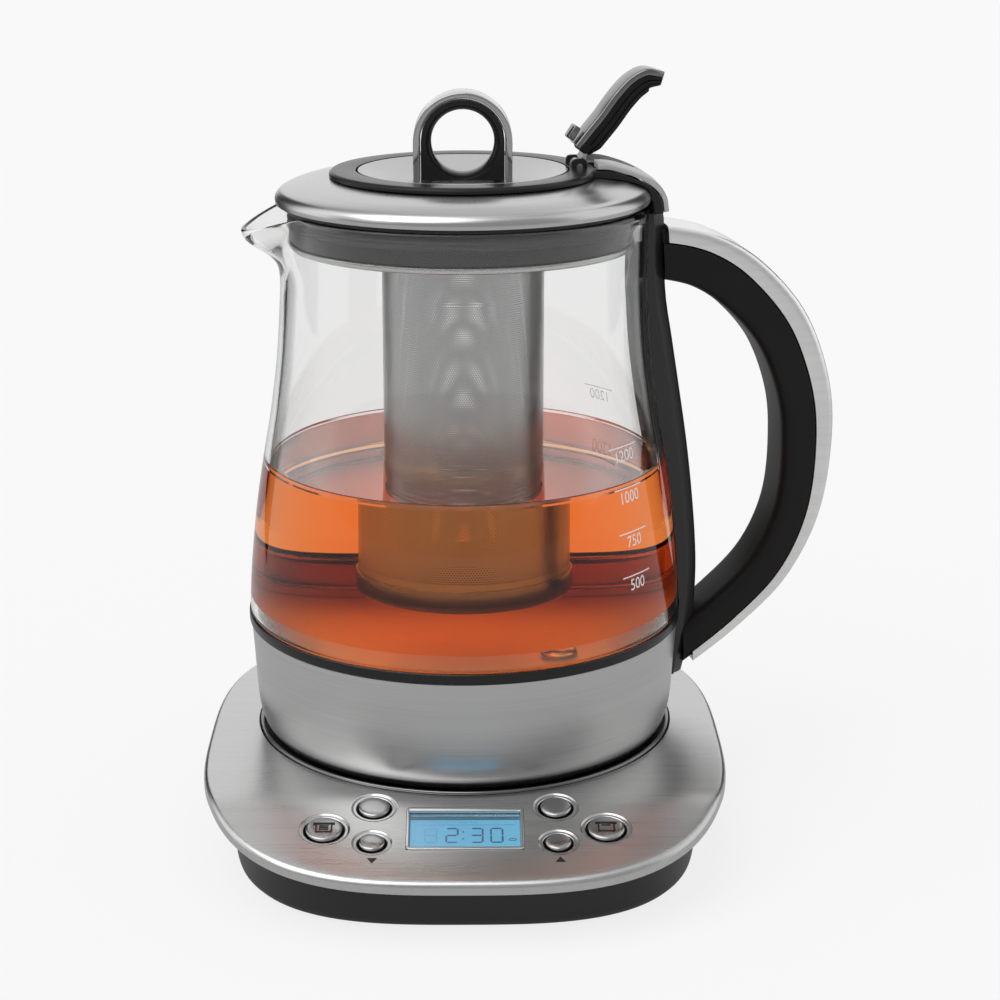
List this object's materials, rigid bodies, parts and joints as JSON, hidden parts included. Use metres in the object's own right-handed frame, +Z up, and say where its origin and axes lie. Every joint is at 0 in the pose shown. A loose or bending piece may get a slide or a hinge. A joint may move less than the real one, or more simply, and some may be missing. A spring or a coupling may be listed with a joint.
{
  "type": "electric tea kettle",
  "caption": "Glass electric tea kettle on a heated cordless base with a sloping button panel; the jug turns and lifts off, its lid and lift-out infuser come out, and a lid lever folds down.",
  "frame": {"origin": "bottom centre of the box round the whole kettle, on the surface that the rubber feet stand on", "axes": "+Z up along the jug's axis; -Y towards the user, who faces the control panel; +X to the user's right, the side of the handle"},
  "size_m": [0.2194, 0.203, 0.2595],
  "materials": {
    "brushed_plate": "stainless plate with a fine straight brushing and a soft sheen",
    "brushed_skirt": "stainless skirt brushed round the jug's axis",
    "handle_steel": "smooth satin stainless over the back of the grip",
    "lid_steel": "polished stainless with a faint round grain",
    "hood_satin": "satin silver-grey paint on plastic",
    "lever_chrome": "grey chrome",
    "button_chrome": "bright plated crown",
    "bright_ring": "mirror-bright plating",
    "cap_steel": "polished dished stainless disc",
    "mesh_steel": "thin stainless sheet with a fine pattern of holes",
    "basket_steel": "plain bright stainless",
    "clamp_steel": "plain bright stainless",
    "heater_steel": "plain stainless vessel floor",
    "element_metal": "dull cast metal",
    "contact_brass": "plated contact",
    "carafe_glass": "clear borosilicate glass with dark volume marks",
    "screen_glass": "clear screen window",
    "screen_face": "blue backlit liquid crystal display",
    "black_gloss": "glossy black",
    "black_satin": "satin black",
    "dark_housing": "satin dark grey",
    "dish_plastic": "satin black",
    "cover_plastic": "satin black",
    "connector_plastic": "matte black, heat resistant",
    "plug_plastic": "satin dark grey",
    "foot_rubber": "soft black rubber",
    "gland_rubber": "soft black rubber",
    "seal_rubber": "dark grey silicone",
    "pale_silicone": "translucent white silicone",
    "circuit_board": "green circuit board",
    "relay_case": "blue relay case",
    "ceramic_white": "cream ceramic"
  },
  "bodies": {
    "base": {"base_top_plate": "brushed_plate", "base_housing": "dark_housing", "rubber_foot_1": "foot_rubber", "rubber_foot_2": "foot_rubber", "rubber_foot_3": "foot_rubber", "rubber_foot_4": "foot_rubber", "docking_dish": "dish_plastic", "docking_ring": "bright_ring", "connector_post": "connector_plastic", "contact_ring": "contact_brass", "contact_pin": "contact_brass", "power_board": "circuit_board", "power_relay": "relay_case", "buzzer": "connector_plastic", "cord_gland": "gland_rubber", "lcd_frame": "bright_ring", "lcd_window": "screen_glass", "lcd_module": "screen_face", "button_guide": "connector_plastic", "keypad_mat": "seal_rubber", "control_board": "circuit_board"},
    "button_boil_body": {"button_boil": "button_chrome"},
    "button_time_body": {"button_time": "button_chrome"},
    "button_down_body": {"button_down": "button_chrome"},
    "button_menu_body": {"button_menu": "button_chrome"},
    "button_up_body": {"button_up": "button_chrome"},
    "button_start_body": {"button_start": "button_chrome"},
    "collar": {"connector_collar": "connector_plastic"},
    "jug": {"glass_carafe": "carafe_glass", "steel_skirt": "brushed_skirt", "jug_bottom_cover": "cover_plastic", "coupler_socket": "connector_plastic", "trim_ring": "black_gloss", "heater_plate": "heater_steel", "glass_gasket": "pale_silicone", "heating_element": "element_metal", "temperature_sensor": "heater_steel", "dry_boil_thermostat": "ceramic_white", "handle_spine": "black_satin", "handle_grip": "black_satin", "handle_cover": "handle_steel"},
    "lid": {"lid_dome": "lid_steel", "lid_plug": "plug_plastic", "lid_seal": "seal_rubber", "lid_clamp_ring": "clamp_steel", "lid_ring": "black_gloss", "hood_cover": "hood_satin", "lever_pin": "clamp_steel"},
    "lever": {"lever_arm": "lever_chrome", "lever_pad": "black_satin", "lever_tongue": "clamp_steel"},
    "infuser": {"basket_tube": "mesh_steel", "basket_foot": "basket_steel", "basket_rim": "basket_steel"},
    "cap": {"cap_disc": "cap_steel", "loop_bow": "bright_ring", "loop_core": "black_satin", "cap_screw_1": "clamp_steel", "cap_screw_2": "clamp_steel", "cap_seal": "seal_rubber"}
  },
  "joints": [
    {"name": "jug_turn", "type": "hinge", "parent": "base", "child": "collar", "pos_m": [-0.02065, 0.0175, 0.036], "axis": [0, 0, 1], "continuous": true},
    {"name": "jug_lift", "type": "slide", "parent": "collar", "child": "jug", "axis": [0, 0, 1], "range_m": [0, 0.08]},
    {"name": "lid_lift", "type": "slide", "parent": "jug", "child": "lid", "axis": [0, 0, 1], "range_m": [0, 0.15]},
    {"name": "lever_fold", "type": "hinge", "parent": "lid", "child": "lever", "pos_m": [0.01757, 0.02287, 0.2268], "axis": [-0.1392, 0.9903, 0], "range_deg": [0, 50]},
    {"name": "infuser_lift", "type": "slide", "parent": "lid", "child": "infuser", "axis": [0, 0, 1], "range_m": [0, 0.15]},
    {"name": "cap_lift", "type": "slide", "parent": "infuser", "child": "cap", "axis": [0, 0, 1], "range_m": [0, 0.05]},
    {"name": "button_boil_press", "type": "slide", "parent": "base", "child": "button_boil_body", "axis": [0, 0.225, -0.9744], "range_m": [0, 0.0012], "stiffness_N_per_m": 300},
    {"name": "button_time_press", "type": "slide", "parent": "base", "child": "button_time_body", "axis": [0, 0.225, -0.9744], "range_m": [0, 0.0012], "stiffness_N_per_m": 300},
    {"name": "button_down_press", "type": "slide", "parent": "base", "child": "button_down_body", "axis": [0, 0.225, -0.9744], "range_m": [0, 0.0012], "stiffness_N_per_m": 300},
    {"name": "button_menu_press", "type": "slide", "parent": "base", "child": "button_menu_body", "axis": [0, 0.225, -0.9744], "range_m": [0, 0.0012], "stiffness_N_per_m": 300},
    {"name": "button_up_press", "type": "slide", "parent": "base", "child": "button_up_body", "axis": [0, 0.225, -0.9744], "range_m": [0, 0.0012], "stiffness_N_per_m": 300},
    {"name": "button_start_press", "type": "slide", "parent": "base", "child": "button_start_body", "axis": [0, 0.225, -0.9744], "range_m": [0, 0.0012], "stiffness_N_per_m": 300}
  ]
}
